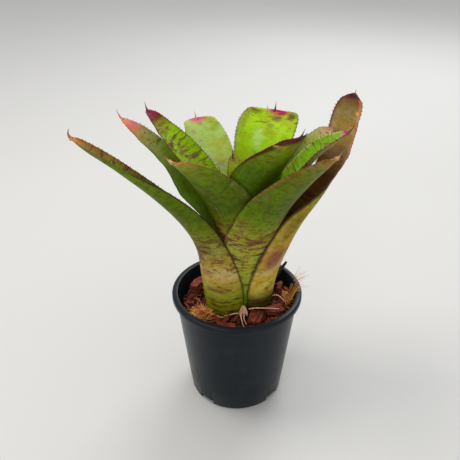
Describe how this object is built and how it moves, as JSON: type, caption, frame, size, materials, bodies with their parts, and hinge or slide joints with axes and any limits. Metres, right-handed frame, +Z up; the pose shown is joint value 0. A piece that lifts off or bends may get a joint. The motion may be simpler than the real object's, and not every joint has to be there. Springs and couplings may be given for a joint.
{
  "type": "potted bromeliad",
  "caption": "Bromeliad with broad channelled leaves, green with maroon bars and spined tips, in bark mix in a black round nursery pot",
  "frame": {"origin": "middle of the pot's underside, on the ground", "axes": "+Z up along the pot's axis; -Y is the front, where the two outer leaf bases part; +X is to the right seen from the front"},
  "size_m": [0.2186, 0.127, 0.2532],
  "materials": {
    "pot_plastic": "satin black moulded plastic",
    "bark_mix": "loose dark bark and husk",
    "stem_flesh": "pale green plant stem",
    "leaf_green": "smooth waxy green leaf with maroon bars",
    "leaf_olive": "smooth waxy olive leaf with brown bars",
    "husk": "rough red-brown husk with fine grain",
    "coir": "bright orange loose fibre",
    "bark": "rough dark bark",
    "dry_leaf": "dry papery tan leaf base",
    "dry_root": "dry tan root"
  },
  "bodies": {
    "root": {"pot": "pot_plastic", "potting_mix": "bark_mix", "stem": "stem_flesh", "leaf_outer_left": "leaf_olive", "leaf_outer_right": "leaf_olive", "leaf_front_right": "leaf_green", "leaf_front_left": "leaf_green", "leaf_left": "leaf_green", "leaf_back_right": "leaf_green", "leaf_right": "leaf_green", "leaf_back": "leaf_green", "leaf_back_left": "leaf_green", "leaf_front_inner": "leaf_green", "leaf_back_inner": "leaf_green", "leaf_young_back": "leaf_green", "leaf_young_front": "leaf_green", "husk_chip_left": "husk", "husk_chip_front": "husk", "husk_chip_front_right": "husk", "husk_chip_upright": "husk", "husk_chip_front_left": "husk", "husk_chip_back": "husk", "husk_chip_back_left": "husk", "coir_tuft_left": "coir", "coir_tuft_right": "coir", "bark_shard": "bark", "dry_scale": "dry_leaf", "root_left": "dry_root", "root_right": "dry_root", "root_front": "dry_root", "root_front_low": "dry_root", "root_arch": "dry_root"}
  },
  "joints": []
}
